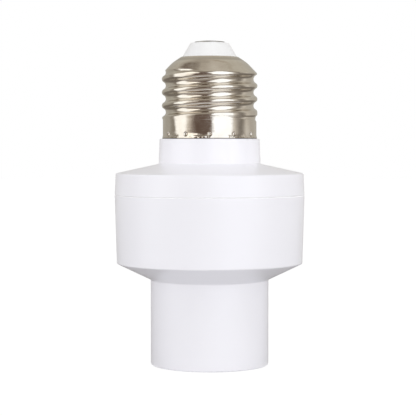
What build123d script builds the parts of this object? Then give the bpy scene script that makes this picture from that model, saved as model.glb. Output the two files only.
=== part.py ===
from build123d import *
import math
import os

# Motion sensor lamp socket: a screw cap on top goes into a lamp holder, a lamp goes into the
# socket that opens at the bottom, and the drum between them holds the switching electronics.
# Millimetres. Origin at the centre of the bottom rim, +Z towards the cap, -Y is the front.

# Outer form of the two mouldings
WALL = 1.8
SKIRT_WALL = 1.95
SKIRT_HEIGHT = 23.5
CONE_HEIGHT = 4.5
HOUSING_HEIGHT = 18.8
PARTING_RADIUS = 26.1
HOUSING_DRAFT = 0.55
COVER_HEIGHT = 5.9
COVER_DRAFT = 0.3
SHOULDER_HEIGHT = 2.6
NECK_HEIGHT = 6.9
NECK_STEP = 0.89
NECK_DRAFT = 0.27
EDGE_ROUND = 0.4
SEAM_ROUND = 0.22

# Lap joint with its snap bead
LAP_HEIGHT = 2.6
LAP_STEP = 0.9
LAP_CLEARANCE = 0.1
BEAD_HEIGHT = 0.25
BEAD_WIDTH = 0.9
BEAD_ROOT = 0.3

# Knuckle thread, common to the cap and the socket
THREAD_PITCH = 3.629
THREAD_DEPTH = 1.07
THREAD_LAND = 0.3
THREAD_OVERCUT = 0.5
RUNOUT_DROP = 0.015
RUNOUT_END_DEPTH = 0.05

# Screw cap
CAP_MAJOR_RADIUS = 13.12
CAP_SHEET = 0.3
CAP_SKIRT_RADIUS = 12.86
CAP_RIM_FLARE = 0.16
CAP_RIM_HEIGHT = 1.0
CAP_SKIRT_HEIGHT = 5.5
CAP_THREAD_HEIGHT = 12.3
CAP_THREAD_RAMP = 0.4
CAP_DOME_HEIGHT = 4.55
CAP_DOME_ROUND = 8.0
CAP_CORNER_ROUND = 1.0
DOME_CORNER_OUT = 0.48
DOME_CORNER_UP = 0.66
CAP_HOLE_RADIUS = 7.6
CAP_THREAD_START = 0.84
CAP_CREST_SHARE = 0.42
CAP_THREAD_ANGLE = 90.0
SPIGOT_HEIGHT = 3.4
SPIGOT_WALL = 1.5
SPIGOT_CLEARANCE = 0.1
CRIMP_COUNT = 12
CRIMP_RADIUS = 0.75
CRIMP_DEPTH = 0.45
CRIMP_LEVEL = 1.25

# Cap insulator and contact
INSULATOR_HEIGHT = 3.9
INSULATOR_TOP_RADIUS = 5.2
INSULATOR_FLANGE = 1.2
INSULATOR_FLANGE_HEIGHT = 1.4
INSULATOR_ROUND = 0.6
CONTACT_RADIUS = 4.1
CONTACT_EDGE = 0.28
CONTACT_DOME = 0.32
CONTACT_SHANK_RADIUS = 1.6
CONTACT_SHANK_LENGTH = 7.0
INSULATOR_FIT = 0.05

# Lamp socket
SOCKET_MAJOR_RADIUS = 13.35
SOCKET_SHEET = 0.35
SOCKET_CREST_SHARE = 0.67
SOCKET_CLEARANCE = 0.12
SOCKET_RECESS = 8.6
SOCKET_BAND = 2.2
MOUTH_STEP = 0.46
MOUTH_DEPTH = 8.0
MOUTH_CHAMFER = 0.5
FLOOR_RISE = 3.0
FLOOR_THICKNESS = 2.0
TAB_WIDTH = 5.0
TAB_FOLD = 3.2
TAB_CLEARANCE = 0.15

# Centre contact leaf and its rivet
LEAF_WIDTH = 6.0
LEAF_SHEET = 0.4
LEAF_FOOT = 4.2
LEAF_REACH = 6.2
LEAF_ARM = 4.4
LEAF_PAD = 3.4
LEAF_TIP = 1.0
LEAF_DROP = 3.0
LEAF_RISE = 0.7
LEAF_BEND = 0.8
RIVET_RADIUS = 1.1
RIVET_HEAD_RADIUS = 1.8
RIVET_HEAD = 0.5
RIVET_FIT = 0.05
RIVET_INSET = 2.3

# Main board and what holds it
BOARD_GAP = 0.6
BOARD_LIFT = 4.0
BOARD_THICKNESS = 1.6
RIB_COUNT = 3
RIB_FIRST_ANGLE = 30.0
RIB_THICKNESS = 1.6
RIB_REACH = 2.5
PILLAR_LENGTH = 2.0

# Parts on the board
WIRE_RADIUS = 0.6
LEG_RADIUS = 0.3
LEG_BEND = 0.8
STAND_OFF = 0.6
BODY_ROUND = 0.5
FILM_SIZE = (13.0, 6.0, 11.5)
FILM_LEG_SPAN = 10.0
FILTER_RADIUS = 5.0
FILTER_HEIGHT = 12.0
THYRISTOR_RADIUS = 2.4
THYRISTOR_HEIGHT = 4.8
THYRISTOR_LEGS = 3.0
THYRISTOR_PITCH = 1.27
THYRISTOR_FLAT = 1.45
DIODE_RADIUS = 1.35
DIODE_LENGTH = 5.2
DIODE_SPAN = 9.0
DIODE_PITCH = 3.4
RESISTOR_RADIUS = 1.6
RESISTOR_LENGTH = 7.0
RESISTOR_SPAN = 11.0
VARISTOR_RADIUS = 4.0
VARISTOR_THICKNESS = 3.5
VARISTOR_LEGS = 2.0
CHIP_SIZE = (9.9, 3.9, 1.5)
CHIP_SPAN = 6.0
CHIP_PINS = 8
CHIP_PITCH = 1.27
CHIP_LIFT = 0.15
CHIP_PIN_WIDTH = 0.4
CHIP_PIN_SHEET = 0.2
CHIP_FOOT = 0.7
LIGHT_RADIUS = 2.5
LIGHT_THICKNESS = 2.0
LIGHT_LEGS = 3.0
SENSOR_SIZE = (18.0, 1.0, 11.5)
SENSOR_CHIP_SIZE = (5.0, 1.2, 4.0)
HEADER_SIZE = (7.6, 2.5, 2.5)
HEADER_PINS = 3
HEADER_PITCH = 2.54
HEADER_PIN_RISE = 2.0

# Leads between the cap, the board and the socket
LEAD_BEND = 2.0
NEUTRAL_BEND = 1.2
NEUTRAL_ANGLE = -75.0
NEUTRAL_PAD_RADIUS = 11.5
NEUTRAL_RISE_RADIUS = 9.0

# Levels and radii that follow from the sizes above
CONE_TOP = SKIRT_HEIGHT + CONE_HEIGHT
PARTING_Z = CONE_TOP + HOUSING_HEIGHT
LAP_TOP = PARTING_Z + LAP_HEIGHT
COVER_EDGE_Z = PARTING_Z + COVER_HEIGHT
NECK_BASE_Z = COVER_EDGE_Z + SHOULDER_HEIGHT
NECK_TOP_Z = NECK_BASE_Z + NECK_HEIGHT
CAP_THREAD_Z = NECK_TOP_Z + CAP_SKIRT_HEIGHT
CAP_DOME_Z = CAP_THREAD_Z + CAP_THREAD_HEIGHT
CAP_TOP_Z = CAP_DOME_Z + CAP_DOME_HEIGHT
CAP_DOME_RADIUS = CAP_HOLE_RADIUS + DOME_CORNER_OUT * (CAP_MAJOR_RADIUS - CAP_HOLE_RADIUS)
CAP_DOME_MIDDLE_Z = CAP_DOME_Z + DOME_CORNER_UP * CAP_DOME_HEIGHT
INSULATOR_TOP_Z = CAP_TOP_Z + INSULATOR_HEIGHT
FLOOR_BOTTOM = SKIRT_HEIGHT + FLOOR_RISE
FLOOR_TOP = FLOOR_BOTTOM + FLOOR_THICKNESS
BOARD_BOTTOM = FLOOR_TOP + BOARD_LIFT
BOARD_TOP = BOARD_BOTTOM + BOARD_THICKNESS
WELL_RADIUS = SOCKET_MAJOR_RADIUS + SOCKET_SHEET + SOCKET_CLEARANCE
MOUTH_RADIUS = WELL_RADIUS + MOUTH_STEP
SKIRT_RADIUS = MOUTH_RADIUS + SKIRT_WALL
BASE_RADIUS = PARTING_RADIUS - HOUSING_DRAFT
COVER_EDGE_RADIUS = PARTING_RADIUS - COVER_DRAFT
NECK_TOP_RADIUS = CAP_SKIRT_RADIUS + NECK_STEP
NECK_BASE_RADIUS = NECK_TOP_RADIUS + NECK_DRAFT
TONGUE_RADIUS = PARTING_RADIUS - LAP_STEP
INNER_RADIUS = PARTING_RADIUS - WALL
NECK_INNER_RADIUS = NECK_TOP_RADIUS - WALL
SPIGOT_RADIUS = CAP_SKIRT_RADIUS - CAP_SHEET - SPIGOT_CLEARANCE
SPIGOT_TOP = NECK_TOP_Z + SPIGOT_HEIGHT
CRIMP_Z = NECK_TOP_Z + CRIMP_LEVEL
BOARD_RADIUS = BASE_RADIUS - WALL - BOARD_GAP
RIB_ANGLES = [RIB_FIRST_ANGLE + 360 / RIB_COUNT * i for i in range(RIB_COUNT)]
RIVET_X = -LEAF_REACH - LEAF_FOOT + RIVET_INSET


def on_board(x_share, y_share):
    """Place on the board, given as shares of its radius."""
    return (x_share * BOARD_RADIUS, y_share * BOARD_RADIUS)


FILM_AT = on_board(-0.345, 0.39)
FILTER_AT = on_board(0.365, 0.39)
THYRISTOR_AT = on_board(0.58, -0.39)
DIODE_AT = on_board(-0.69, -0.26)
RESISTOR_AT = on_board(-0.085, 0.71)
VARISTOR_AT = on_board(0.67, 0.045)
CHIP_AT = on_board(0.175, -0.24)
LIGHT_AT = on_board(-0.755, 0.13)
SENSOR_AT = on_board(0, -0.625)
LIVE_PAD_AT = on_board(0, 0.07)


def turned(*points):
    """Solid of revolution from (radius, z, rounding) corners in the XZ half plane."""
    corners = [(p[0], 0, p[1]) for p in points]
    rounds = [p[2] if len(p) > 2 else 0 for p in points]
    outline = FilletPolyline(*corners, radius=rounds, close=True)
    return revolve(make_face(outline), Axis.Z)


def inset(outline, depth):
    """Inner corners of an outline that climbs with the solid on its left, moved in by a depth."""
    moved = []
    for before, corner, after in zip(outline[:-2], outline[1:-1], outline[2:]):
        first = Vector(before[1] - corner[1], corner[0] - before[0]).normalized()
        second = Vector(corner[1] - after[1], after[0] - corner[0]).normalized()
        shift = (first + second) * (depth / (1 + first.dot(second)))
        moved.append((corner[0] + shift.X, corner[1] + shift.Y))
    return moved


def block(size, at, z):
    """Upright box standing on level z, centred on at."""
    return Pos(at[0], at[1], z) * Box(*size, align=(Align.CENTER, Align.CENTER, Align.MIN))


def rod(radius, height, at, z):
    """Upright round rod standing on level z."""
    return Pos(at[0], at[1], z) * Cylinder(radius, height, align=(Align.CENTER, Align.CENTER, Align.MIN))


def wire(*points, radius=WIRE_RADIUS, bend=LEAD_BEND):
    """Round wire through the points, with tangent arcs at the corners."""
    path = FilletPolyline(*points, radius=bend) if len(points) > 2 else Line(*points)
    section = Plane(origin=path @ 0, z_dir=path % 0) * Circle(radius)
    return sweep(section, path=path)


def thread_profile(major, offset, crest_share):
    """Knuckle groove section, set inwards by offset for the inner side of the sheet.

    The crest's arc and the groove's arc meet tangentially, and crest_share divides their radii.
    Returns the face, centred on z = 0, and the radius of the crest line it runs out to."""
    minor = major - THREAD_DEPTH
    both_arcs = ((THREAD_PITCH / 2) ** 2 + THREAD_DEPTH**2) / (2 * THREAD_DEPTH)
    outer_arc = crest_share * both_arcs
    crest_centre = major - outer_arc
    crest_arc = outer_arc - offset
    flank = math.pi / 2 - math.atan2(both_arcs - THREAD_DEPTH, THREAD_PITCH / 2)
    land = math.asin(THREAD_LAND / 2 / outer_arc)

    def on_crest(angle):
        return (crest_centre + crest_arc * math.cos(angle), THREAD_PITCH / 2 - crest_arc * math.sin(angle))

    flank_r, flank_z = on_crest(flank)
    half_r, half_z = on_crest((flank + land) / 2)
    land_r, land_z = on_crest(land)
    over_r = land_r + THREAD_OVERCUT
    edges = [
        ThreePointArc((flank_r, -flank_z), (minor - offset, 0), (flank_r, flank_z)),
        ThreePointArc((flank_r, flank_z), (half_r, half_z), (land_r, land_z)),
        Polyline((land_r, land_z), (over_r, land_z), (over_r, -land_z), (land_r, -land_z)),
        ThreePointArc((land_r, -land_z), (half_r, -half_z), (flank_r, -flank_z)),
    ]
    return Plane.XZ * make_face(edges), land_r


def thread_groove(major, offset, crest_share, start_z, turns, angle):
    """Groove cutters: the helix, and a run-out at each end that climbs to the crest.

    The run-out turns about an axis set off centre and tilted, so it leaves the helix tangentially."""
    face, _ = thread_profile(major, offset, crest_share)
    _, crest = thread_profile(major, 0, crest_share)
    minor = major - THREAD_DEPTH
    shift = (crest - minor - RUNOUT_END_DEPTH) / 2
    lead = THREAD_PITCH / (2 * math.pi * minor)
    runout_axis = Axis((-shift, 0, -RUNOUT_DROP * (shift + minor)), (-RUNOUT_DROP, -lead, 1))
    helix = Helix(THREAD_PITCH, THREAD_PITCH * turns, minor)
    low_runout = revolve(face, runout_axis, -180)
    high_runout = Pos(0, 0, THREAD_PITCH * turns) * Rot(0, 0, 360 * turns) * low_runout.rotate(Axis.X, 180)
    cutters = [sweep(face, path=helix, is_frenet=True), low_runout, high_runout]
    return [Pos(0, 0, start_z) * Rot(0, 0, angle) * cutter for cutter in cutters]


def shoulder_z(radius):
    """Height of the sloped shoulder's outside at a radius."""
    slope = SHOULDER_HEIGHT / (COVER_EDGE_RADIUS - NECK_BASE_RADIUS)
    return COVER_EDGE_Z + (COVER_EDGE_RADIUS - radius) * slope


def shoulder_inside_z(radius):
    """Height of the shoulder's underside at a radius."""
    slope = SHOULDER_HEIGHT / (COVER_EDGE_RADIUS - NECK_BASE_RADIUS)
    return shoulder_z(radius) - WALL * math.hypot(1, slope)


def cone_inside_z(radius):
    """Height of the cone's inside at a radius."""
    slope = CONE_HEIGHT / (BASE_RADIUS - SKIRT_RADIUS)
    return SKIRT_HEIGHT + (radius - SKIRT_RADIUS) * slope + WALL * math.hypot(1, slope)


def snap_ring(offset):
    """Snap bead on the tongue, or with an offset the groove for it in the cover."""
    middle = PARTING_Z + LAP_HEIGHT / 2
    half = BEAD_WIDTH / 2 + offset
    inner = TONGUE_RADIUS - BEAD_ROOT
    return turned(
        (inner, middle - half),
        (TONGUE_RADIUS, middle - half),
        (TONGUE_RADIUS + BEAD_HEIGHT + offset, middle),
        (TONGUE_RADIUS, middle + half),
        (inner, middle + half),
    )


def make_lower_housing():
    envelope = turned(
        (0, 0),
        (SKIRT_RADIUS, 0, EDGE_ROUND),
        (SKIRT_RADIUS, SKIRT_HEIGHT, EDGE_ROUND),
        (BASE_RADIUS, CONE_TOP, EDGE_ROUND),
        (PARTING_RADIUS, PARTING_Z, SEAM_ROUND),
        (TONGUE_RADIUS, PARTING_Z),
        (TONGUE_RADIUS, LAP_TOP, SEAM_ROUND),
        (0, LAP_TOP),
    )
    envelope += snap_ring(0)
    tube_radius = WELL_RADIUS + WALL
    base_inside = BASE_RADIUS - WALL
    compartment = turned(
        (0, FLOOR_TOP),
        (tube_radius, FLOOR_TOP),
        (tube_radius, cone_inside_z(tube_radius)),
        (base_inside, cone_inside_z(base_inside)),
        (INNER_RADIUS, LAP_TOP),
        (0, LAP_TOP),
    )
    for angle in RIB_ANGLES:
        inner = BOARD_RADIUS - RIB_REACH
        rib = block((PARTING_RADIUS, RIB_THICKNESS, BOARD_BOTTOM), (inner + PARTING_RADIUS / 2, 0), 0)
        compartment -= Rot(0, 0, angle) * rib
    well = turned(
        (0, 0),
        (MOUTH_RADIUS + MOUTH_CHAMFER, 0),
        (MOUTH_RADIUS, MOUTH_CHAMFER),
        (MOUTH_RADIUS, MOUTH_DEPTH),
        (WELL_RADIUS, MOUTH_DEPTH),
        (WELL_RADIUS, FLOOR_BOTTOM),
        (0, FLOOR_BOTTOM),
    )
    housing = envelope - compartment - well
    tab_radius = WELL_RADIUS - SOCKET_CLEARANCE - SOCKET_SHEET / 2
    slot = (TAB_WIDTH + 2 * TAB_CLEARANCE, SOCKET_SHEET * 2 + 2 * TAB_CLEARANCE, 3 * FLOOR_THICKNESS)
    for side in (-1, 1):
        housing -= block(slot, (0, side * (tab_radius - SOCKET_SHEET / 2)), FLOOR_BOTTOM - FLOOR_THICKNESS)
    rivet_hole = RIVET_RADIUS + RIVET_FIT
    housing -= rod(rivet_hole, 2 * FLOOR_THICKNESS, (RIVET_X, 0), FLOOR_BOTTOM - FLOOR_THICKNESS / 2)
    return housing


def neutral_point(radius, z):
    """Point at a radius and level in the upright plane that the neutral lead runs in."""
    angle = math.radians(NEUTRAL_ANGLE)
    return (radius * math.cos(angle), radius * math.sin(angle), z)


def crimp_balls(radius):
    """Balls at the crimp points, set so that a ball of CRIMP_RADIUS sinks in by CRIMP_DEPTH."""
    centre = CAP_SKIRT_RADIUS + CRIMP_RADIUS - CRIMP_DEPTH
    ball = Pos(centre, 0, CRIMP_Z) * Sphere(radius)
    return [Rot(0, 0, 360 / CRIMP_COUNT * i) * ball for i in range(CRIMP_COUNT)]


def make_upper_cover():
    envelope = turned(
        (0, PARTING_Z),
        (PARTING_RADIUS, PARTING_Z, SEAM_ROUND),
        (COVER_EDGE_RADIUS, COVER_EDGE_Z, EDGE_ROUND),
        (NECK_BASE_RADIUS, NECK_BASE_Z, EDGE_ROUND),
        (NECK_TOP_RADIUS, NECK_TOP_Z, EDGE_ROUND),
        (SPIGOT_RADIUS, NECK_TOP_Z),
        (SPIGOT_RADIUS, SPIGOT_TOP, SEAM_ROUND),
        (0, SPIGOT_TOP),
    )
    cavity = turned(
        (0, PARTING_Z),
        (TONGUE_RADIUS + LAP_CLEARANCE, PARTING_Z),
        (TONGUE_RADIUS + LAP_CLEARANCE, LAP_TOP + LAP_CLEARANCE),
        (COVER_EDGE_RADIUS - WALL, LAP_TOP + LAP_CLEARANCE),
        (COVER_EDGE_RADIUS - WALL, shoulder_inside_z(COVER_EDGE_RADIUS - WALL)),
        (NECK_INNER_RADIUS, shoulder_inside_z(NECK_INNER_RADIUS)),
        (NECK_INNER_RADIUS, NECK_TOP_Z - WALL),
        (SPIGOT_RADIUS - SPIGOT_WALL, NECK_TOP_Z - WALL / 2),
        (SPIGOT_RADIUS - SPIGOT_WALL, SPIGOT_TOP),
        (0, SPIGOT_TOP),
    )
    cover = envelope - cavity - snap_ring(LAP_CLEARANCE)
    pillar_inner = BOARD_RADIUS - RIB_REACH
    pillar_top = shoulder_inside_z(pillar_inner) + WALL / 3
    pillar_size = (PILLAR_LENGTH, RIB_THICKNESS, pillar_top - BOARD_TOP)
    pillar = block(pillar_size, (pillar_inner + PILLAR_LENGTH / 2, 0), BOARD_TOP)
    for angle in RIB_ANGLES:
        cover += Rot(0, 0, angle) * pillar
    cover -= crimp_balls(CRIMP_RADIUS + CAP_SHEET + SPIGOT_CLEARANCE)
    notch_depth = 2 * WIRE_RADIUS + SPIGOT_CLEARANCE
    notch_size = (notch_depth, 2.4 * WIRE_RADIUS, SPIGOT_HEIGHT)
    notch = block(notch_size, (SPIGOT_RADIUS - notch_depth / 2, 0), NECK_TOP_Z + WIRE_RADIUS)
    return cover - Rot(0, 0, NEUTRAL_ANGLE) * notch


def cap_body(offset):
    """The cap as a full solid: its outside, or with the sheet thickness as offset its inside."""
    _, crest = thread_profile(CAP_MAJOR_RADIUS, 0, CAP_CREST_SHARE)
    outline = [
        (CAP_SKIRT_RADIUS + CAP_RIM_FLARE, NECK_TOP_Z - CAP_RIM_HEIGHT),
        (CAP_SKIRT_RADIUS + CAP_RIM_FLARE, NECK_TOP_Z),
        (CAP_SKIRT_RADIUS, NECK_TOP_Z + CAP_RIM_HEIGHT),
        (CAP_SKIRT_RADIUS, CAP_THREAD_Z - CAP_THREAD_RAMP),
        (crest, CAP_THREAD_Z + CAP_THREAD_RAMP),
        (crest, CAP_DOME_Z),
        (CAP_DOME_RADIUS, CAP_DOME_MIDDLE_Z),
        (CAP_HOLE_RADIUS + CAP_SHEET, CAP_TOP_Z),
        (0, CAP_TOP_Z),
    ]
    rim, ramp_low, ramp_high, crest_low, crest_high, dome, top = inset(outline, offset)
    body = turned(
        (0, NECK_TOP_Z),
        (rim[0], NECK_TOP_Z),
        ramp_low,
        ramp_high,
        crest_low,
        (*crest_high, CAP_CORNER_ROUND - offset),
        (*dome, CAP_DOME_ROUND),
        top,
        (0, top[1]),
    )
    quarters = math.ceil(4 * (CAP_THREAD_HEIGHT - CAP_THREAD_START) / THREAD_PITCH)
    start = (CAP_THREAD_Z + CAP_THREAD_START, quarters / 4, CAP_THREAD_ANGLE)
    for cutter in thread_groove(CAP_MAJOR_RADIUS, offset, CAP_CREST_SHARE, *start):
        body -= cutter
    return body


def make_cap_screw_shell():
    shell = cap_body(0) - cap_body(CAP_SHEET)
    shell -= rod(CAP_HOLE_RADIUS, CAP_DOME_HEIGHT, (0, 0), CAP_DOME_Z + CAP_DOME_HEIGHT / 2)
    core = rod(CAP_SKIRT_RADIUS - CAP_SHEET / 2, CAP_SKIRT_HEIGHT, (0, 0), NECK_TOP_Z)
    for ball in crimp_balls(CRIMP_RADIUS + CAP_SHEET):
        shell += ball & core
    return shell - crimp_balls(CRIMP_RADIUS)


def make_cap_insulator():
    neck = CAP_HOLE_RADIUS - INSULATOR_FIT
    under = CAP_TOP_Z - CAP_SHEET - INSULATOR_FIT
    bore = CONTACT_SHANK_RADIUS + INSULATOR_FIT
    return turned(
        (bore, under - INSULATOR_FLANGE_HEIGHT),
        (neck + INSULATOR_FLANGE - INSULATOR_FLANGE_HEIGHT, under - INSULATOR_FLANGE_HEIGHT),
        (neck + INSULATOR_FLANGE - INSULATOR_FLANGE_HEIGHT / 2, under - INSULATOR_FLANGE_HEIGHT / 2),
        (neck, under),
        (neck, CAP_TOP_Z),
        (INSULATOR_TOP_RADIUS, INSULATOR_TOP_Z, INSULATOR_ROUND),
        (bore, INSULATOR_TOP_Z),
    )


def make_cap_contact():
    edge_z = INSULATOR_TOP_Z + CONTACT_EDGE
    tip_z = INSULATOR_TOP_Z - CONTACT_SHANK_LENGTH
    side = Polyline(
        (0, 0, edge_z + CONTACT_DOME),
        (0, 0, tip_z),
        (CONTACT_SHANK_RADIUS, 0, tip_z),
        (CONTACT_SHANK_RADIUS, 0, INSULATOR_TOP_Z),
        (CONTACT_RADIUS, 0, INSULATOR_TOP_Z),
        (CONTACT_RADIUS, 0, edge_z),
    )
    ball = (CONTACT_RADIUS**2 + CONTACT_DOME**2) / (2 * CONTACT_DOME)
    half_z = edge_z + CONTACT_DOME - ball + math.sqrt(ball**2 - CONTACT_RADIUS**2 / 4)
    half = (CONTACT_RADIUS / 2, 0, half_z)
    dome = ThreePointArc((CONTACT_RADIUS, 0, edge_z), half, (0, 0, edge_z + CONTACT_DOME))
    return revolve(make_face([side, dome]), Axis.Z)


def socket_body(offset):
    """The socket's screw sheet as a full solid: its outside, or with the sheet thickness its inside."""
    major = SOCKET_MAJOR_RADIUS + SOCKET_SHEET
    _, crest = thread_profile(major, offset, SOCKET_CREST_SHARE)
    height = FLOOR_BOTTOM - SOCKET_RECESS
    body = rod(crest, height, (0, 0), SOCKET_RECESS)
    turns = math.floor((height - SOCKET_BAND) / THREAD_PITCH) - 1
    start_z = (SOCKET_RECESS + FLOOR_BOTTOM - turns * THREAD_PITCH) / 2
    for cutter in thread_groove(major, offset, SOCKET_CREST_SHARE, start_z, turns, 0):
        body -= cutter
    return body


def make_socket_screw_shell():
    shell = socket_body(0) - socket_body(SOCKET_SHEET)
    major = SOCKET_MAJOR_RADIUS + SOCKET_SHEET
    _, outside = thread_profile(major, 0, SOCKET_CREST_SHARE)
    _, inside = thread_profile(major, SOCKET_SHEET, SOCKET_CREST_SHARE)
    reach = FLOOR_TOP + SOCKET_SHEET - FLOOR_BOTTOM
    ring = rod(outside, reach, (0, 0), FLOOR_BOTTOM) - rod(inside, reach, (0, 0), FLOOR_BOTTOM)
    for side in (-1, 1):
        half = (TAB_WIDTH, SOCKET_MAJOR_RADIUS, 4 * reach)
        upright = block(half, (0, side * SOCKET_MAJOR_RADIUS), FLOOR_BOTTOM - reach)
        fold_y = side * (inside + SOCKET_SHEET / 4 - TAB_FOLD / 2)
        fold = block((TAB_WIDTH, TAB_FOLD, SOCKET_SHEET), (0, fold_y), FLOOR_TOP)
        shell += (ring & upright) + fold
    return shell


def make_centre_contact():
    level = FLOOR_BOTTOM - LEAF_SHEET / 2
    root = -LEAF_REACH
    pad = root + LEAF_ARM
    path = FilletPolyline(
        (root - LEAF_FOOT, 0, level),
        (root, 0, level),
        (pad, 0, level - LEAF_DROP),
        (pad + LEAF_PAD, 0, level - LEAF_DROP),
        (pad + LEAF_PAD + LEAF_TIP, 0, level - LEAF_DROP + LEAF_RISE),
        radius=LEAF_BEND,
    )
    strip = Plane(origin=path @ 0, x_dir=(0, 1, 0), z_dir=path % 0) * Rectangle(LEAF_WIDTH, LEAF_SHEET)
    leaf = sweep(strip, path=path)
    return leaf - rod(RIVET_RADIUS + RIVET_FIT, 4 * LEAF_SHEET, (RIVET_X, 0), level - 2 * LEAF_SHEET)


def make_contact_rivet():
    low = FLOOR_BOTTOM - LEAF_SHEET
    rivet = turned(
        (0, low - RIVET_HEAD),
        (RIVET_HEAD_RADIUS, low - RIVET_HEAD, RIVET_HEAD / 3),
        (RIVET_HEAD_RADIUS, low),
        (RIVET_RADIUS, low),
        (RIVET_RADIUS, FLOOR_TOP),
        (RIVET_HEAD_RADIUS, FLOOR_TOP),
        (RIVET_HEAD_RADIUS, FLOOR_TOP + RIVET_HEAD, RIVET_HEAD / 3),
        (0, FLOOR_TOP + RIVET_HEAD),
    )
    return Pos(RIVET_X, 0, 0) * rivet


def axial_part(radius, length, span, at, along_y):
    """Round body lying on the board with a bent leg at each end."""
    axis_z = BOARD_TOP + STAND_OFF + radius
    body = Pos(0, 0, axis_z) * Rot(0, 90, 0) * Cylinder(radius, length)
    body = fillet(body.edges().filter_by(GeomType.CIRCLE), radius / 4)
    legs = wire(
        (-span / 2, 0, BOARD_TOP), (-span / 2, 0, axis_z), (span / 2, 0, axis_z), (span / 2, 0, BOARD_TOP),
        radius=LEG_RADIUS, bend=LEG_BEND,
    )
    turn = 90 if along_y else 0
    return Pos(at[0], at[1], 0) * Rot(0, 0, turn) * (body + legs)


def make_thyristor():
    low = BOARD_TOP + THYRISTOR_LEGS
    body = rod(THYRISTOR_RADIUS, THYRISTOR_HEIGHT, (0, 0), low)
    flat = (3 * THYRISTOR_RADIUS, THYRISTOR_RADIUS, 2 * THYRISTOR_HEIGHT)
    body -= block(flat, (0, -THYRISTOR_FLAT - THYRISTOR_RADIUS / 2), BOARD_TOP)
    for x in (-THYRISTOR_PITCH, 0, THYRISTOR_PITCH):
        body += rod(LEG_RADIUS, THYRISTOR_LEGS + LEG_RADIUS, (x, 0), BOARD_TOP)
    return Pos(*THYRISTOR_AT, 0) * body


def disc_part(radius, thickness, legs, at):
    """Upright disc facing along X on two legs."""
    centre_z = BOARD_TOP + legs + radius
    body = Pos(0, 0, centre_z) * Rot(0, 90, 0) * Cylinder(radius, thickness)
    body = fillet(body.edges().filter_by(GeomType.CIRCLE), thickness / 4)
    for side in (-1, 1):
        body += rod(LEG_RADIUS, legs + radius, (0, side * radius / 2), BOARD_TOP)
    return Pos(*at, 0) * body


def make_film_capacitor():
    body = block(FILM_SIZE, FILM_AT, BOARD_TOP + STAND_OFF)
    body = fillet(body.edges(), BODY_ROUND)
    for side in (-1, 1):
        leg_x = FILM_AT[0] + side * FILM_LEG_SPAN / 2
        body += rod(LEG_RADIUS, 2 * STAND_OFF, (leg_x, FILM_AT[1]), BOARD_TOP)
    return body


def make_filter_capacitor():
    body = rod(FILTER_RADIUS, FILTER_HEIGHT, FILTER_AT, BOARD_TOP)
    return fillet(body.edges().filter_by(GeomType.CIRCLE), BODY_ROUND)


def make_control_chip():
    body = block(CHIP_SIZE, (0, 0), BOARD_TOP + CHIP_LIFT)
    rise = CHIP_SIZE[2] / 2
    drop_y = CHIP_SPAN / 2 - CHIP_FOOT + CHIP_PIN_SHEET / 2
    for i in range(CHIP_PINS):
        x = (i - (CHIP_PINS - 1) / 2) * CHIP_PITCH
        bridge = (CHIP_PIN_WIDTH, 2 * drop_y + CHIP_PIN_SHEET, CHIP_PIN_SHEET)
        body += block(bridge, (x, 0), BOARD_TOP + rise)
        for side in (-1, 1):
            drop = (CHIP_PIN_WIDTH, CHIP_PIN_SHEET, rise + CHIP_PIN_SHEET)
            body += block(drop, (x, side * drop_y), BOARD_TOP)
            foot = (CHIP_PIN_WIDTH, CHIP_FOOT, CHIP_PIN_SHEET)
            body += block(foot, (x, side * (CHIP_SPAN - CHIP_FOOT) / 2), BOARD_TOP)
    return Pos(*CHIP_AT, 0) * body


def make_sensor_header():
    body = block(HEADER_SIZE, SENSOR_AT, BOARD_TOP)
    for i in range(HEADER_PINS):
        x = SENSOR_AT[0] + (i - (HEADER_PINS - 1) / 2) * HEADER_PITCH
        y = SENSOR_AT[1] + SENSOR_SIZE[1] / 2 + LEG_RADIUS
        body += rod(LEG_RADIUS, HEADER_SIZE[2] + HEADER_PIN_RISE, (x, y), BOARD_TOP)
    return body


def make_sensor_chip():
    y = SENSOR_AT[1] - (SENSOR_SIZE[1] + SENSOR_CHIP_SIZE[1]) / 2
    return block(SENSOR_CHIP_SIZE, (SENSOR_AT[0], y), BOARD_TOP + HEADER_SIZE[2] + SENSOR_SIZE[2] / 2)


def make_live_lead():
    bend_z = (NECK_BASE_Z + BOARD_TOP) / 2
    top_z = INSULATOR_TOP_Z - CONTACT_SHANK_LENGTH
    return wire(
        (*LIVE_PAD_AT, BOARD_TOP),
        (*LIVE_PAD_AT, bend_z),
        (0, 0, bend_z + 2 * LEAD_BEND),
        (0, 0, top_z),
    )


def make_neutral_lead():
    clamp_radius = CAP_SKIRT_RADIUS - CAP_SHEET - WIRE_RADIUS - INSULATOR_FIT
    return wire(
        neutral_point(NEUTRAL_PAD_RADIUS, BOARD_TOP),
        neutral_point(NEUTRAL_PAD_RADIUS, COVER_EDGE_Z - 4 * LEAD_BEND),
        neutral_point(NEUTRAL_RISE_RADIUS, COVER_EDGE_Z - 2 * LEAD_BEND),
        neutral_point(NEUTRAL_RISE_RADIUS, SPIGOT_TOP + 1.5 * WIRE_RADIUS),
        neutral_point(clamp_radius, SPIGOT_TOP + 1.5 * WIRE_RADIUS),
        neutral_point(clamp_radius, NECK_TOP_Z + 1.5 * WIRE_RADIUS),
        bend=NEUTRAL_BEND,
    )


def make_contact_lead():
    return wire((RIVET_X, 0, FLOOR_TOP + RIVET_HEAD), (RIVET_X, 0, BOARD_BOTTOM))


def make_shell_lead():
    y = SOCKET_MAJOR_RADIUS - TAB_FOLD / 2
    return wire((0, y, FLOOR_TOP + SOCKET_SHEET), (0, y, BOARD_BOTTOM))


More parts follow.
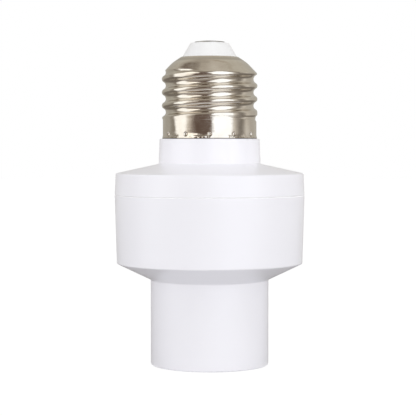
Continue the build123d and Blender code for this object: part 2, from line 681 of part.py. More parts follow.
pieces = {
    "lower_housing": make_lower_housing(),
    "upper_cover": make_upper_cover(),
    "cap_screw_shell": make_cap_screw_shell(),
    "cap_insulator": make_cap_insulator(),
    "cap_contact": make_cap_contact(),
    "socket_screw_shell": make_socket_screw_shell(),
    "centre_contact": make_centre_contact(),
    "contact_rivet": make_contact_rivet(),
    "main_board": rod(BOARD_RADIUS, BOARD_THICKNESS, (0, 0), BOARD_BOTTOM),
    "film_capacitor": make_film_capacitor(),
    "filter_capacitor": make_filter_capacitor(),
    "thyristor": make_thyristor(),
    "fuse_resistor": axial_part(RESISTOR_RADIUS, RESISTOR_LENGTH, RESISTOR_SPAN, RESISTOR_AT, False),
    "surge_varistor": disc_part(VARISTOR_RADIUS, VARISTOR_THICKNESS, VARISTOR_LEGS, VARISTOR_AT),
    "light_sensor": disc_part(LIGHT_RADIUS, LIGHT_THICKNESS, LIGHT_LEGS, LIGHT_AT),
    "control_chip": make_control_chip(),
    "sensor_board": block(SENSOR_SIZE, SENSOR_AT, BOARD_TOP + HEADER_SIZE[2]),
    "sensor_chip": make_sensor_chip(),
    "sensor_header": make_sensor_header(),
    "live_lead": make_live_lead(),
    "neutral_lead": make_neutral_lead(),
    "contact_lead": make_contact_lead(),
    "shell_lead": make_shell_lead(),
}
for number in range(4):
    diode_at = (DIODE_AT[0] + number * DIODE_PITCH, DIODE_AT[1])
    diode = axial_part(DIODE_RADIUS, DIODE_LENGTH, DIODE_SPAN, diode_at, True)
    pieces[f"rectifier_diode_{number + 1}"] = diode

os.makedirs("parts", exist_ok=True)
for name, shape in pieces.items():
    export_step(shape, f"parts/{name}.step")
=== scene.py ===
import math

import bpy
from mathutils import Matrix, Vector


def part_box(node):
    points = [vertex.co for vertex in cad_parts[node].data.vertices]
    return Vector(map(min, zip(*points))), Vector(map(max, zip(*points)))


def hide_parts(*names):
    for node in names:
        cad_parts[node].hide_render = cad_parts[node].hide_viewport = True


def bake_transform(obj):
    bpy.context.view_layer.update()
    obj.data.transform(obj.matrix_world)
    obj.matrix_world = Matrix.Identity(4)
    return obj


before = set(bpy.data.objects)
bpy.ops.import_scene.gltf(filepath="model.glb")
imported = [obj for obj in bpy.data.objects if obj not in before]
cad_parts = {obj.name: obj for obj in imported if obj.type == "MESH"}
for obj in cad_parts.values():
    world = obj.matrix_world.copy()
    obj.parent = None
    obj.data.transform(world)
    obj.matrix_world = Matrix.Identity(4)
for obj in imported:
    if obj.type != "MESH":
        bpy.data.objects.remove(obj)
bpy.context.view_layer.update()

# Camera: place in metres, tilt down in degrees and lens in millimetres, fitted to the photo
CAMERA_AT = (-0.00045, -0.418, 0.0616)
CAMERA_TILT = 2.53
CAMERA_LENS = 131.4

# Floor paper, which is darker where |x| is a larger share of the distance from the axis
FLOOR_SIZE = 4.0
FLOOR_COLOUR = (0.765, 0.765, 0.775)
FLOOR_SIDE_COLOUR = (0.51, 0.51, 0.52)
FLOOR_SIDE_FADE = (0.45, 0.95)
FLOOR_GLOW_SHARE = 0.92
FLOOR_GLOW = 1.06

# World light from low and from overhead, and the Z parts of a direction where it changes
HORIZON_LIGHT = 0.945
ZENITH_LIGHT = 0.62
WORLD_FADE = (0.15, 0.85)
WORLD_COLOUR = (1.0, 1.0, 1.0)

# Lamps: degrees, metres and watts; azimuth is 0 towards the camera and positive to its right
LAMPS = {
    "key": {"azimuth": 62, "elevation": 6, "distance": 0.9, "size": 0.55, "watts": 3.2},
    "fill": {"azimuth": -55, "elevation": 6, "distance": 0.9, "size": 0.5, "watts": 2.55},
    "top": {"azimuth": 10, "elevation": 70, "distance": 0.8, "size": 0.6, "watts": 0.76},
}
LAMP_AIM = Vector((0, 0, 0.045))

# Room that the bright metal mirrors: metres, and degrees as seen from the middle of the cap
ROOM_CENTRE_Z = 0.074
ROOM_RADIUS = 0.9
ROOM_TOP = 2.2
ROOM_TOP_HOLE = 0.001
ROOM_STEPS = 96
GROUND_Z = 0.0002
GROUND_HOLE = 0.0168
ROOM_STRENGTH = 2.0
CEILING_FADE = (18, 50)
CEILING_FRONT = (0.17, 0.15, 0.125)
CEILING_BACK = (0.30, 0.285, 0.25)
ZENITH_FADE = (58, 80)
ZENITH_COLOUR = (0.32, 0.30, 0.265)
GROUND_FADE = (-4, -20)
GROUND_FRONT = (0.22, 0.20, 0.18)
GROUND_SIDES = (0.11, 0.098, 0.085)
GROUND_SIDES_FADE = (50, 100)
SOFT_BOXES = [
    {"azimuth": (-5, 50), "elevation": (2, 38), "softness": 0.25, "colour": (0.70, 0.71, 0.73)},
    {"azimuth": (5, 60), "elevation": (-30, 62), "softness": 0.15, "colour": (0.76, 0.79, 0.83)},
    {"azimuth": (-84, -26), "elevation": (5, 36), "softness": 0.3, "colour": (0.84, 0.81, 0.76)},
    {"azimuth": (-90, -58), "elevation": (-30, 54), "softness": 0.5, "colour": (0.74, 0.74, 0.73)},
    {"azimuth": (-93, -72), "elevation": (-7, 9), "softness": 0.3, "colour": (0.74, 0.74, 0.73)},
]
HALF_TURN = 180.0
WALL_BANDS = [
    (-180, (0.24, 0.23, 0.205)),
    (-116, (0.24, 0.23, 0.205)),
    (-107, (0.175, 0.16, 0.14)),
    (-97, (0.15, 0.135, 0.115)),
    (-92, (0.30, 0.28, 0.26)),
    (-62, (0.54, 0.51, 0.47)),
    (-56, (0.43, 0.40, 0.36)),
    (-48, (0.25, 0.22, 0.19)),
    (-40, (0.13, 0.105, 0.09)),
    (-32, (0.075, 0.052, 0.042)),
    (3, (0.085, 0.062, 0.052)),
    (9, (0.40, 0.38, 0.35)),
    (61, (0.42, 0.40, 0.37)),
    (67, (0.30, 0.28, 0.255)),
    (75, (0.165, 0.15, 0.135)),
    (84, (0.12, 0.107, 0.095)),
    (91, (0.20, 0.185, 0.165)),
    (101, (0.38, 0.36, 0.33)),
    (116, (0.28, 0.265, 0.24)),
    (180, (0.25, 0.24, 0.215)),
]

# Dark patches overhead: middle, long axis and half sizes, all as level parts of a direction
DARK_PATCHES = [
    {
        "middle": (-0.26, 0.28),
        "along": (-0.66, 0.75),
        "half": (0.34, 0.18),
        "colour": (0.225, 0.205, 0.175),
    },
    {
        "middle": (-0.42, 0.26),
        "along": (-0.66, 0.75),
        "half": (0.27, 0.08),
        "colour": (0.11, 0.09, 0.075),
    },
    {
        "middle": (0.22, 0.27),
        "along": (1.0, -0.1),
        "half": (0.28, 0.045),
        "colour": (0.22, 0.19, 0.15),
    },
]
PATCH_SOFTNESS = 0.8

# Sockets of a Mix node that mixes colours
MIX_FACTOR = 0
MIX_FIRST = 6
MIX_SECOND = 7
MIX_RESULT = 2

# Noises of the finishes: scale in cycles a metre and detail, and the range that is drawn out
CLOUD_NOISE = (60.0, 3.0)
GLOSS_NOISE = (420.0, 3.0)
GRAIN_DETAIL = 3.0
TARNISH_NOISE = (260.0, 5.0)
HAZE_NOISE = (700.0, 6.0)
DENT_NOISE = (170.0, 1.0)
SCRATCH_NOISE = (2600.0, 4.0)
NOISE_RANGE = (0.3, 0.7)

# Moulded and coated finishes, each over the plain one's grain, clouding and unevenness
PLAIN_FINISH = {"grain": 2400.0, "grain_depth": 6e-6, "cloud": 0.03, "unevenness": 0.05}
MOULDED = {
    "white_moulding": {
        "colour": (0.885, 0.878, 0.92),
        "roughness": 0.30,
        "grain": 3000.0,
        "grain_depth": 1e-6,
        "cloud": 0.012,
        "unevenness": 0.012,
    },
    "white_insulator": {
        "colour": (0.86, 0.86, 0.865),
        "roughness": 0.32,
        "grain": 1800.0,
        "grain_depth": 5e-6,
        "cloud": 0.02,
        "unevenness": 0.03,
    },
    "board_laminate": {"colour": (0.05, 0.22, 0.10), "roughness": 0.4, "grain_depth": 8e-6},
    "film_box": {"colour": (0.68, 0.52, 0.06), "roughness": 0.4},
    "capacitor_sleeve": {"colour": (0.02, 0.025, 0.07), "roughness": 0.35},
    "resistor_body": {"colour": (0.30, 0.38, 0.30), "roughness": 0.5},
    "diode_body": {"colour": (0.018, 0.018, 0.02), "roughness": 0.4},
    "thyristor_body": {"colour": (0.02, 0.02, 0.02), "roughness": 0.45},
    "varistor_coat": {"colour": (0.03, 0.10, 0.36), "roughness": 0.3},
    "light_sensor_body": {"colour": (0.62, 0.34, 0.20), "roughness": 0.25},
    "chip_body": {"colour": (0.022, 0.022, 0.024), "roughness": 0.5},
    "sensor_chip_body": {"colour": (0.022, 0.022, 0.024), "roughness": 0.5},
    "header_body": {"colour": (0.02, 0.02, 0.02), "roughness": 0.45},
    "live_insulation": {"colour": (0.50, 0.03, 0.025), "roughness": 0.38},
    "neutral_insulation": {"colour": (0.025, 0.025, 0.03), "roughness": 0.38},
}

# Plated and bare metals: the depth of the dents is in metres
PLATED = {
    "nickel_sheet": {
        "colour": (0.74, 0.70, 0.64),
        "tarnish": (0.66, 0.61, 0.54),
        "roughness": 0.13,
        "dents": 2e-4,
    },
    # Centre contact: nickel with its colour and tarnish darkened to paint a dark reflection on it
    "nickel_contact": {
        "colour": (0.40, 0.385, 0.37),
        "tarnish": (0.30, 0.285, 0.27),
        "roughness": 0.34,
        "dents": 3e-5,
    },
    "socket_sheet": {
        "colour": (0.72, 0.69, 0.63),
        "tarnish": (0.62, 0.58, 0.51),
        "roughness": 0.2,
        "dents": 6e-5,
    },
    "leaf_brass": {
        "colour": (0.80, 0.60, 0.30),
        "tarnish": (0.62, 0.42, 0.18),
        "roughness": 0.22,
        "dents": 3e-5,
    },
}
HAZE_SHARES = (0.6, 1.5)
SCRATCH_DEPTH = 1.5e-6
TINNED = (0.72, 0.71, 0.69)
GILT = (0.85, 0.65, 0.30)

# Crimped rim of the cap and a painted shadow along its lower edge, measured up from that edge
RIM_BUCKLE_LOW = 0.0004
RIM_BUCKLE_HIGH = 0.0016
RIM_BUCKLE_DEPTH = 3e-4
RIM_BUCKLE_NOISE = (520.0, 2.0)
RIM_SHADOW_LOW = 0.00012
RIM_SHADOW_HIGH = 0.0003
RIM_PAINTED_SHADOW = (0.10, 0.085, 0.07)

# Foot of the cap's thread, which leans out from the skirt in a soft roll
FOOT_LOW = 0.0051
FOOT_HIGH = 0.0059
FOOT_ROLL = 2.5e-4

# Rolled edge of the cap round its insulator, by distance from the axis
LIP_LINE = (0.0082, 0.0087, 0.0092, 0.0099)
LIP_COLOUR = (0.55, 0.51, 0.455)

# Marks that rolling leaves round the cap, finer along the axis than round it
SPIN_NOISE = (90.0, 2.0)
SPIN_RATIO = 18.0
SPIN_DEPTH = 3.5e-5

# Parting line of the two mouldings, with painted light in its groove that lifts the shade there
SEAM_Z = 0.0468
SEAM_NEAR = 0.00014
SEAM_FAR = 0.00028
SEAM_PAINTED_LIGHT = (0.955, 0.95, 0.975)

# Parts inside: places where their finish changes, in metres, and a distance past them all
AXIAL_HALF = {"fuse_resistor": 0.0035, "rectifier_diode_1": 0.0026}
LEG_HEIGHT = {"thyristor": 0.0030, "surge_varistor": 0.0021, "light_sensor": 0.0031}
HEADER_BODY = 0.0025
HEADER_CLEARANCE = 1e-5
CHIP_HALF_WIDTH = 0.00196
SLEEVE_TOP = 3e-4
FAR_OFF = 1.0

# Marks on the parts inside: shares of their bodies, and the inputs of the nodes that draw tracks
STRIPE_SHARE = 0.12
STRIPE_MARGIN = 1e-3
STRIPE_COLOUR = (0.55, 0.57, 0.62)
BROWN = (0.18, 0.06, 0.03)
BLACK = (0.02, 0.02, 0.02)
GOLD = (0.55, 0.40, 0.12)
RESISTOR_BANDS = [(-0.62, BROWN), (-0.3, BLACK), (0.02, BROWN), (0.46, GOLD)]
RESISTOR_BAND_SHARE = 1 / 7
DIODE_COUNT = 4
DIODE_RING = (0.5, 0.8)
DIODE_RING_COLOUR = (0.6, 0.6, 0.6)
BOARD_TRACKS = {"Scale": 420.0, "Mortar Size": 0.035, "Brick Width": 0.9, "Row Height": 0.5}
BOARD_TRACK_COLOUR = (0.03, 0.14, 0.065)
SENSOR_TRACK = {"Scale": 260.0, "Distortion": 2.0}
SENSOR_TRACK_LEVEL = 0.72
SENSOR_TRACK_COLOUR = (0.20, 0.07, 0.04)


def centre_of(node):
    """Middle of a CAD node's box."""
    low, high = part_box(node)
    return (low + high) / 2


def add(tree, kind, inputs=None, **settings):
    """New node with its settings made and its inputs set to values or linked to sockets."""
    node = tree.nodes.new(kind)
    for name, value in settings.items():
        setattr(node, name, value)
    for key, value in (inputs or {}).items():
        if isinstance(value, bpy.types.NodeSocket):
            tree.links.new(value, node.inputs[key])
        else:
            node.inputs[key].default_value = value
    return node


def maths(tree, operation, first, second=0.0):
    """Result of one Math node."""
    return add(tree, "ShaderNodeMath", {0: first, 1: second}, operation=operation).outputs[0]


def squares(tree, first, second):
    """Sum of the squares of two values."""
    parts = [maths(tree, "MULTIPLY", value, value) for value in (first, second)]
    return maths(tree, "ADD", *parts)


def place(tree, coordinates="Object"):
    """Point of the surface in the row frame, in metres, or the world's direction from Generated."""
    return add(tree, "ShaderNodeTexCoord").outputs[coordinates]


def along(tree, axis, coordinates="Object"):
    """One coordinate of that point."""
    return add(tree, "ShaderNodeSeparateXYZ", {"Vector": place(tree, coordinates)}).outputs[axis]


def inside(tree, axis, low, high):
    """1 where the coordinate lies between two values, else 0."""
    value = along(tree, axis)
    past_low = maths(tree, "GREATER_THAN", value, low)
    short_of_high = maths(tree, "LESS_THAN", value, high)
    return maths(tree, "MULTIPLY", past_low, short_of_high)


def smooth_between(tree, value, low, high):
    """0 at low to 1 at high, either way round."""
    inputs = {"Value": value, "From Min": low, "From Max": high}
    node = add(tree, "ShaderNodeMapRange", inputs, interpolation_type="SMOOTHSTEP")
    return node.outputs["Result"]


def rise(tree, axis, low, high, coordinates="Object"):
    """0 at one level, 1 at another, either way up, and smooth between them."""
    return smooth_between(tree, along(tree, axis, coordinates), low, high)


def from_axis(tree):
    """Distance from the Z axis."""
    return maths(tree, "SQRT", squares(tree, along(tree, "X"), along(tree, "Y")))


def noise(tree, scale, detail, at=None):
    """Noise from 0 to 1, with scale in cycles a metre."""
    point = place(tree) if at is None else at
    inputs = {"Vector": point, "Scale": scale, "Detail": detail}
    return add(tree, "ShaderNodeTexNoise", inputs).outputs["Fac"]


def spread(tree, value, low, high):
    """Noise drawn out to a range."""
    start, end = NOISE_RANGE
    inputs = {"Value": value, "From Min": start, "From Max": end, "To Min": low, "To Max": high}
    return add(tree, "ShaderNodeMapRange", inputs).outputs["Result"]


def mixed(tree, factor, first, second):
    """Colour between two colours."""
    inputs = {MIX_FACTOR: factor, MIX_FIRST: first, MIX_SECOND: second}
    return add(tree, "ShaderNodeMix", inputs, data_type="RGBA").outputs[MIX_RESULT]


def relief(tree, height, depth, below=None):
    """Bump normal, with depth in metres, over another normal where one is given."""
    inputs = {"Height": height, "Distance": depth, "Strength": 1.0}
    if below is not None:
        inputs["Normal"] = below
    return add(tree, "ShaderNodeBump", inputs).outputs["Normal"]


def opaque(colour):
    """Colour with full alpha."""
    return (*colour, 1.0)


def shaded(colour, factor):
    """Colour made darker or lighter."""
    return tuple(part * factor for part in colour)


def new_material(name):
    """Node material with its tree and its Principled shader."""
    material = bpy.data.materials.new(name)
    material.use_nodes = True
    return material, material.node_tree, material.node_tree.nodes["Principled BSDF"]


def link(tree, shader, **sockets):
    """Connects node results to the shader's inputs."""
    for name, value in sockets.items():
        tree.links.new(value, shader.inputs[name.replace("_", " ")])


def linked(shader, name):
    """Node result that feeds one of the shader's inputs."""
    return shader.inputs[name].links[0].from_socket


def set_surface(tree, result):
    """Shows a shader's result in place of the Principled one."""
    tree.links.new(result, tree.nodes["Material Output"].inputs["Surface"])


def moulded(name):
    """Moulded or coated surface: slow clouding of the colour, uneven gloss and a fine grain."""
    finish = PLAIN_FINISH | MOULDED[name]
    material, tree, shader = new_material(name)
    clouds = spread(tree, noise(tree, *CLOUD_NOISE), 0.0, 1.0)
    darker = shaded(finish["colour"], 1 - finish["cloud"])
    base = mixed(tree, clouds, opaque(darker), opaque(finish["colour"]))
    low = finish["roughness"] - finish["unevenness"]
    high = finish["roughness"] + finish["unevenness"]
    gloss = spread(tree, noise(tree, *GLOSS_NOISE), low, high)
    grain = relief(tree, noise(tree, finish["grain"], GRAIN_DETAIL), finish["grain_depth"])
    link(tree, shader, Base_Color=base, Roughness=gloss, Normal=grain)
    return material, tree, shader


def white_moulding():
    """Satin white moulding with a fine spark-eroded grain, and painted light in the seam's groove
    that lifts its shade.
    """
    material, tree, shader = moulded("white_moulding")
    # Painted light: a lighter colour in the groove of the seam, lifting the shade that falls there
    from_below = rise(tree, "Z", SEAM_Z - SEAM_FAR, SEAM_Z - SEAM_NEAR)
    from_above = rise(tree, "Z", SEAM_Z + SEAM_FAR, SEAM_Z + SEAM_NEAR)
    painted_seam_light = maths(tree, "MULTIPLY", from_below, from_above)
    base = mixed(tree, painted_seam_light, linked(shader, "Base Color"), opaque(SEAM_PAINTED_LIGHT))
    link(tree, shader, Base_Color=base)
    return material


def plated(name):
    """Plated or bare sheet: tarnish clouds, hazy patches, shallow dents and fine scratches."""
    finish = PLATED[name]
    material, tree, shader = new_material(name)
    shader.inputs["Metallic"].default_value = 1.0
    clouds = spread(tree, noise(tree, *TARNISH_NOISE), 0.0, 1.0)
    low, high = [finish["roughness"] * share for share in HAZE_SHARES]
    haze = spread(tree, noise(tree, *HAZE_NOISE), low, high)
    dented = relief(tree, noise(tree, *DENT_NOISE), finish["dents"])
    scratched = relief(tree, noise(tree, *SCRATCH_NOISE), SCRATCH_DEPTH, dented)
    base = mixed(tree, clouds, opaque(finish["tarnish"]), opaque(finish["colour"]))
    link(tree, shader, Base_Color=base, Roughness=haze, Normal=scratched)
    return material, tree, shader


def rolling_marks(tree):
    """Noise drawn out round the cap."""
    inputs = {0: place(tree), 1: (1, 1, SPIN_RATIO)}
    stretched = add(tree, "ShaderNodeVectorMath", inputs, operation="MULTIPLY").outputs[0]
    return noise(tree, *SPIN_NOISE, at=stretched)


def thread_foot(tree, rim):
    """0 above the foot of the cap's thread, 1 below it, and straight between them."""
    inputs = {"Value": along(tree, "Z"), "From Min": rim + FOOT_HIGH, "From Max": rim + FOOT_LOW}
    return add(tree, "ShaderNodeMapRange", inputs).outputs["Result"]


def rim_buckles(tree, rim):
    """Noise at the cap's lower edge that dies away above it."""
    clear = rise(tree, "Z", rim + RIM_BUCKLE_LOW, rim + RIM_BUCKLE_HIGH)
    near_rim = maths(tree, "SUBTRACT", 1.0, clear)
    return maths(tree, "MULTIPLY", noise(tree, *RIM_BUCKLE_NOISE), near_rim)


def lip_line(tree):
    """1 on the dark line along the cap's rolled edge, 0 on both sides of it."""
    start, dark, dark_end, end = LIP_LINE
    out = from_axis(tree)
    rising = smooth_between(tree, out, start, dark)
    falling = smooth_between(tree, out, end, dark_end)
    return maths(tree, "MULTIPLY", rising, falling)


def cap_nickel():
    """Bright nickel with rolling marks, a buckled rim with a painted shadow along its lower edge,
    and a darker lip.
    """
    material, tree, shader = plated("nickel_sheet")
    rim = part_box("cap_screw_shell")[0].z
    normal = relief(tree, rolling_marks(tree), SPIN_DEPTH, linked(shader, "Normal"))
    normal = relief(tree, thread_foot(tree, rim), FOOT_ROLL, normal)
    normal = relief(tree, rim_buckles(tree, rim), RIM_BUCKLE_DEPTH, normal)
    # Painted shadow: a dark band along the cap's lower edge, where it meets the neck
    clear = rise(tree, "Z", rim + RIM_SHADOW_LOW, rim + RIM_SHADOW_HIGH)
    base = mixed(tree, clear, opaque(RIM_PAINTED_SHADOW), linked(shader, "Base Color"))
    base = mixed(tree, lip_line(tree), base, opaque(LIP_COLOUR))
    link(tree, shader, Base_Color=base, Normal=normal)
    return material


def with_metal(name, metal_mask, metal=TINNED):
    """Moulded body that is bare metal where the mask is 1, as on its legs or pins."""
    material, tree, shader = moulded(name)
    mask = metal_mask(tree)
    base = mixed(tree, mask, linked(shader, "Base Color"), opaque(metal))
    link(tree, shader, Base_Color=base, Metallic=mask)
    return material, tree, shader


def above(level):
    """Mask of what lies over a level."""
    return lambda tree: inside(tree, "Z", level, FAR_OFF)


def legs_below(node):
    """Mask of a standing part's legs."""
    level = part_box(node)[0].z + LEG_HEIGHT[node]
    return lambda tree: inside(tree, "Z", -FAR_OFF, level)


def outside_of(axis, centre, half):
    """Mask of what reaches past a body on both sides."""
    low = centre - half
    high = centre + half
    return lambda tree: maths(tree, "SUBTRACT", 1.0, inside(tree, axis, low, high))


def banded(material_parts, axis, bands):
    """Paints bands round a body: (low, high, colour) along an axis, in metres."""
    material, tree, shader = material_parts
    colour = linked(shader, "Base Color")
    for low, high, paint in bands:
        colour = mixed(tree, inside(tree, axis, low, high), colour, opaque(paint))
    link(tree, shader, Base_Color=colour)
    return material


def board_laminate():
    """Green board with darker tracks under the mask."""
    material, tree, shader = moulded("board_laminate")
    inputs = {"Vector": place(tree), **BOARD_TRACKS}
    tracks = add(tree, "ShaderNodeTexBrick", inputs).outputs["Fac"]
    base = mixed(tree, tracks, linked(shader, "Base Color"), opaque(BOARD_TRACK_COLOUR))
    link(tree, shader, Base_Color=base)
    return material


def capacitor_sleeve():
    """Dark sleeve with a pale stripe down one side and a bare aluminium top."""
    low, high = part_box("filter_capacitor")
    parts = with_metal("capacitor_sleeve", above(high.z - SLEEVE_TOP))
    stripe = low.x + STRIPE_SHARE * (high.x - low.x)
    return banded(parts, "X", [(low.x - STRIPE_MARGIN, stripe, STRIPE_COLOUR)])


def resistor_body():
    """Flameproof resistor with four plain bands."""
    middle = centre_of("fuse_resistor").x
    half = AXIAL_HALF["fuse_resistor"]
    parts = with_metal("resistor_body", outside_of("X", middle, half))
    bands = []
    for share, paint in RESISTOR_BANDS:
        start = middle + half * share
        bands.append((start, start + half * RESISTOR_BAND_SHARE, paint))
    return banded(parts, "X", bands)


def diode_body():
    """Black diode with the pale ring at its cathode."""
    middle = centre_of("rectifier_diode_1").y
    half = AXIAL_HALF["rectifier_diode_1"]
    parts = with_metal("diode_body", outside_of("Y", middle, half))
    start, end = [middle + half * share for share in DIODE_RING]
    return banded(parts, "Y", [(start, end, DIODE_RING_COLOUR)])


def light_sensor_body():
    """Light-dependent resistor: pale ceramic with a wavy dark track on its faces."""
    material, tree, shader = with_metal("light_sensor_body", legs_below("light_sensor"))
    inputs = {"Vector": place(tree), **SENSOR_TRACK}
    waves = add(tree, "ShaderNodeTexWave", inputs, bands_direction="Z").outputs["Fac"]
    track = maths(tree, "GREATER_THAN", waves, SENSOR_TRACK_LEVEL)
    base = mixed(tree, track, linked(shader, "Base Color"), opaque(SENSOR_TRACK_COLOUR))
    link(tree, shader, Base_Color=base)
    return material


def header_body():
    """Pin header: black strip, gilt pins."""
    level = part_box("sensor_header")[0].z + HEADER_BODY
    return with_metal("header_body", above(level + HEADER_CLEARANCE), metal=GILT)[0]


def chip_body():
    """Moulded chip with tinned pins along both long sides."""
    middle = centre_of("control_chip").y
    return with_metal("chip_body", outside_of("Y", middle, CHIP_HALF_WIDTH))[0]


def dress(material, *names):
    """Gives CAD nodes a material in place of the plain one they came with."""
    for name in names:
        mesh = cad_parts[name].data
        mesh.materials.clear()
        mesh.materials.append(material)


def dress_nodes():
    """Every CAD node's finish."""
    diodes = [f"rectifier_diode_{number}" for number in range(1, DIODE_COUNT + 1)]
    dress(white_moulding(), "lower_housing", "upper_cover")
    dress(cap_nickel(), "cap_screw_shell")
    # The centre contact's darker colour is a painted reflection
    dress(plated("nickel_contact")[0], "cap_contact")
    dress(plated("socket_sheet")[0], "socket_screw_shell")
    dress(plated("leaf_brass")[0], "centre_contact", "contact_rivet")
    dress(moulded("white_insulator")[0], "cap_insulator")
    dress(board_laminate(), "main_board", "sensor_board")
    dress(moulded("film_box")[0], "film_capacitor")
    dress(capacitor_sleeve(), "filter_capacitor")
    dress(resistor_body(), "fuse_resistor")
    dress(diode_body(), *diodes)
    dress(with_metal("thyristor_body", legs_below("thyristor"))[0], "thyristor")
    dress(with_metal("varistor_coat", legs_below("surge_varistor"))[0], "surge_varistor")
    dress(light_sensor_body(), "light_sensor")
    dress(chip_body(), "control_chip")
    dress(moulded("sensor_chip_body")[0], "sensor_chip")
    dress(header_body(), "sensor_header")
    dress(moulded("live_insulation")[0], "live_lead", "contact_lead")
    dress(moulded("neutral_insulation")[0], "neutral_lead", "shell_lead")


def make_leaf_spring():
    """The sprung contact, riveted at its foot, as an object of its own in place of its CAD node."""
    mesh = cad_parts["centre_contact"].data.copy()
    leaf = bpy.data.objects.new("leaf_spring", mesh)
    bpy.context.scene.collection.objects.link(leaf)
    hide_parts("centre_contact")
    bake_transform(leaf)


def staged(name, mesh, material):
    """Studio object that isn't part of the lamp socket."""
    obj = bpy.data.objects.new(name, mesh)
    bpy.context.scene.collection.objects.link(obj)
    mesh.materials.append(material)
    return obj


def seen_directly(tree):
    """1 for camera, mirror and glass rays, else 0."""
    path = add(tree, "ShaderNodeLightPath").outputs
    first = maths(tree, "MAXIMUM", path["Is Camera Ray"], path["Is Glossy Ray"])
    return maths(tree, "MAXIMUM", first, path["Is Transmission Ray"])


def make_floor():
    """Pale floor that looks white and keeps a faint shadow."""
    half = FLOOR_SIZE / 2
    corners = [(-half, -half, 0), (half, -half, 0), (half, half, 0), (-half, half, 0)]
    mesh = bpy.data.meshes.new("floor")
    mesh.from_pydata(corners, [], [(0, 1, 2, 3)])
    material, tree, _ = new_material("floor_paper")
    turn = maths(tree, "DIVIDE", maths(tree, "ABSOLUTE", along(tree, "X")), from_axis(tree))
    beside = smooth_between(tree, turn, *FLOOR_SIDE_FADE)
    paper = mixed(tree, beside, opaque(FLOOR_COLOUR), opaque(FLOOR_SIDE_COLOUR))
    matt = add(tree, "ShaderNodeBsdfDiffuse", {"Color": paper}).outputs[0]
    glow = add(tree, "ShaderNodeEmission", {"Strength": FLOOR_GLOW}).outputs[0]
    share = maths(tree, "MULTIPLY", seen_directly(tree), FLOOR_GLOW_SHARE)
    set_surface(tree, add(tree, "ShaderNodeMixShader", {0: share, 1: matt, 2: glow}).outputs[0])
    staged("floor", mesh, material)


def turned_mesh(name, profile):
    """Open surface of revolution about Z from (radius, z) points."""
    points = []
    faces = []
    rows = len(profile)
    for step in range(ROOM_STEPS):
        angle = 2 * math.pi * step / ROOM_STEPS
        x = math.sin(angle)
        y = -math.cos(angle)
        points += [(radius * x, radius * y, z) for radius, z in profile]
        here = step * rows
        there = (step + 1) % ROOM_STEPS * rows
        for row in range(rows - 1):
            faces.append((here + row, there + row, there + row + 1, here + row + 1))
    mesh = bpy.data.meshes.new(name)
    mesh.from_pydata(points, [], faces)
    return mesh


def above_cap(tree):
    """Height of a point of the room over the middle of the cap."""
    return maths(tree, "SUBTRACT", along(tree, "Z"), ROOM_CENTRE_Z)


def room_direction(tree):
    """Azimuth and elevation, in degrees, of a point of the room as seen from the cap."""
    towards = maths(tree, "MULTIPLY", along(tree, "Y"), -1.0)
    azimuth = maths(tree, "ARCTAN2", along(tree, "X"), towards)
    elevation = maths(tree, "ARCTAN2", above_cap(tree), from_axis(tree))
    return maths(tree, "DEGREES", azimuth), maths(tree, "DEGREES", elevation)


def band_colours(tree, azimuth):
    """Lighter and darker parts of the wall, by azimuth."""
    inputs = {"Value": azimuth, "From Min": -HALF_TURN, "From Max": HALF_TURN}
    turn = add(tree, "ShaderNodeMapRange", inputs).outputs["Result"]
    ramp = add(tree, "ShaderNodeValToRGB", {"Fac": turn})
    stops = ramp.color_ramp.elements
    stops.remove(stops[1])
    for number, (degrees, colour) in enumerate(WALL_BANDS):
        position = (degrees + HALF_TURN) / (2 * HALF_TURN)
        stop = stops[0] if number == 0 else stops.new(position)
        stop.position = position
        stop.color = opaque(colour)
    return ramp.outputs["Color"]


def box_share(tree, box, azimuth, elevation):
    """1 inside an oval soft box, 0 outside it."""
    shares = []
    for value, (low, high) in ((azimuth, box["azimuth"]), (elevation, box["elevation"])):
        off = maths(tree, "SUBTRACT", value, (low + high) / 2)
        shares.append(maths(tree, "DIVIDE", off, (high - low) / 2))
    return smooth_between(tree, squares(tree, *shares), 1 + box["softness"], 1 - box["softness"])


def patch_share(tree, patch):
    """1 inside a long dark patch overhead, 0 outside it."""
    up = above_cap(tree)
    reach = maths(tree, "SQRT", squares(tree, up, from_axis(tree)))
    offs = []
    for axis, middle in zip("XY", patch["middle"]):
        level_part = maths(tree, "DIVIDE", along(tree, axis), reach)
        offs.append(maths(tree, "SUBTRACT", level_part, middle))
    x, y = patch["along"]
    shares = []
    for axis, half in zip(((x, y), (-y, x)), patch["half"]):
        parts = [maths(tree, "MULTIPLY", off, part) for off, part in zip(offs, axis)]
        shares.append(maths(tree, "DIVIDE", maths(tree, "ADD", *parts), half))
    total = squares(tree, *shares)
    share = smooth_between(tree, total, 1 + PATCH_SOFTNESS, 1 - PATCH_SOFTNESS)
    return maths(tree, "MULTIPLY", share, maths(tree, "GREATER_THAN", up, 0.0))


def room_tones(tree):
    """Colour of the room: wall, ceiling and ground, with soft boxes and dark patches on them."""
    azimuth, elevation = room_direction(tree)
    back = rise(tree, "Y", -ROOM_RADIUS / 2, ROOM_RADIUS / 2)
    ceiling = mixed(tree, back, opaque(CEILING_FRONT), opaque(CEILING_BACK))
    overhead = smooth_between(tree, elevation, *ZENITH_FADE)
    ceiling = mixed(tree, overhead, ceiling, opaque(ZENITH_COLOUR))
    sideways = smooth_between(tree, maths(tree, "ABSOLUTE", azimuth), *GROUND_SIDES_FADE)
    ground = mixed(tree, sideways, opaque(GROUND_FRONT), opaque(GROUND_SIDES))
    tones = band_colours(tree, azimuth)
    tones = mixed(tree, smooth_between(tree, elevation, *CEILING_FADE), tones, ceiling)
    tones = mixed(tree, smooth_between(tree, elevation, *GROUND_FADE), tones, ground)
    for box in SOFT_BOXES:
        tones = mixed(tree, box_share(tree, box, azimuth, elevation), tones, opaque(box["colour"]))
    for patch in DARK_PATCHES:
        tones = mixed(tree, patch_share(tree, patch), tones, opaque(patch["colour"]))
    return tones


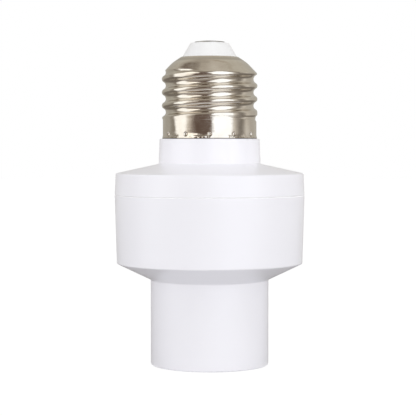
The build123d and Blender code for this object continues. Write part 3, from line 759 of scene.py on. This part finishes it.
def make_reflection_room():
    """Round studio room that only mirrors see."""
    profile = [
        (GROUND_HOLE, GROUND_Z),
        (ROOM_RADIUS, GROUND_Z),
        (ROOM_RADIUS, ROOM_TOP),
        (ROOM_TOP_HOLE, ROOM_TOP),
    ]
    mesh = turned_mesh("reflection_room", profile)
    material, tree, _ = new_material("reflection_room_tones")
    inputs = {"Color": room_tones(tree), "Strength": ROOM_STRENGTH}
    set_surface(tree, add(tree, "ShaderNodeEmission", inputs).outputs[0])
    room = staged("reflection_room", mesh, material)
    room.visible_camera = False
    room.visible_diffuse = False
    room.visible_shadow = False
    room.visible_transmission = False


def make_world():
    """White to the camera, mirrors and glass; to everything else a soft light, weaker overhead."""
    world = bpy.data.worlds.new("studio")
    bpy.context.scene.world = world
    world.use_nodes = True
    tree = world.node_tree
    high = rise(tree, "Z", *WORLD_FADE, coordinates="Generated")
    change = maths(tree, "MULTIPLY", high, ZENITH_LIGHT - HORIZON_LIGHT)
    soft = maths(tree, "ADD", change, HORIZON_LIGHT)
    direct = seen_directly(tree)
    unseen = maths(tree, "SUBTRACT", 1.0, direct)
    strength = maths(tree, "ADD", maths(tree, "MULTIPLY", unseen, soft), direct)
    background = tree.nodes["Background"]
    tree.links.new(strength, background.inputs["Strength"])
    background.inputs["Color"].default_value = opaque(WORLD_COLOUR)


def pointing(azimuth, elevation):
    """Unit vector towards an azimuth and an elevation in degrees."""
    turn = math.radians(azimuth)
    lift = math.radians(elevation)
    flat = math.cos(lift)
    return Vector((flat * math.sin(turn), -flat * math.cos(turn), math.sin(lift)))


def make_lamps():
    """Two square lamps low at the sides and one overhead, which mirrors don't see."""
    for name, lamp in LAMPS.items():
        data = bpy.data.lights.new(name, "AREA")
        data.shape = "SQUARE"
        data.size = lamp["size"]
        data.energy = lamp["watts"]
        obj = bpy.data.objects.new(name, data)
        bpy.context.scene.collection.objects.link(obj)
        direction = pointing(lamp["azimuth"], lamp["elevation"])
        obj.location = LAMP_AIM + direction * lamp["distance"]
        obj.rotation_euler = direction.to_track_quat("Z", "Y").to_euler()
        obj.visible_glossy = False


def make_camera():
    """Camera at the photograph's place."""
    data = bpy.data.cameras.new("camera")
    data.lens = CAMERA_LENS
    camera = bpy.data.objects.new("camera", data)
    bpy.context.scene.collection.objects.link(camera)
    camera.location = CAMERA_AT
    camera.rotation_euler = (math.radians(90 - CAMERA_TILT), 0, 0)
    bpy.context.scene.camera = camera


dress_nodes()
make_leaf_spring()
make_floor()
make_reflection_room()
make_world()
make_lamps()
make_camera()
bpy.context.scene.view_settings.view_transform = "Standard"
